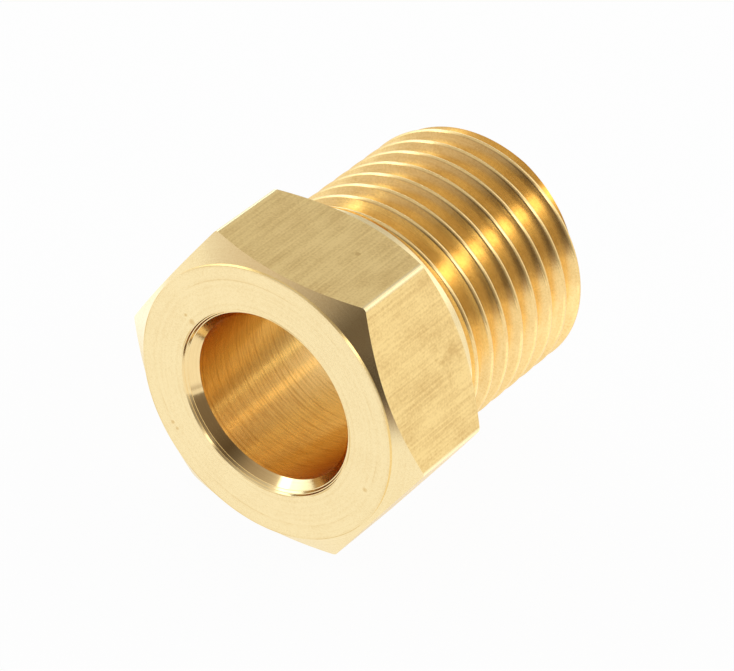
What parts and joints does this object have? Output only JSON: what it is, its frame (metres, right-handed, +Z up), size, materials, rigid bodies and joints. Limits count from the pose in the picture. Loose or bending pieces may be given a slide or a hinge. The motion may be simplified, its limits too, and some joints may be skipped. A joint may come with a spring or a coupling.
{
  "type": "compression nut",
  "caption": "Male compression nut for a small tube: a chamfered hexagon head, a plain collar and an externally threaded shank, bored right through.",
  "frame": {"origin": "below the middle of the nut's length, on the surface that its lowest hexagon flat lies on", "axes": "+X along the bore from the head's face to the end of the threaded shank, +Z up"},
  "size_m": [0.021, 0.0208, 0.018],
  "materials": {
    "brass": "as turned, with fine tool marks on the turned faces and fine drawing lines on the flats"
  },
  "bodies": {
    "root": {"tube_nut": "brass"}
  },
  "joints": []
}
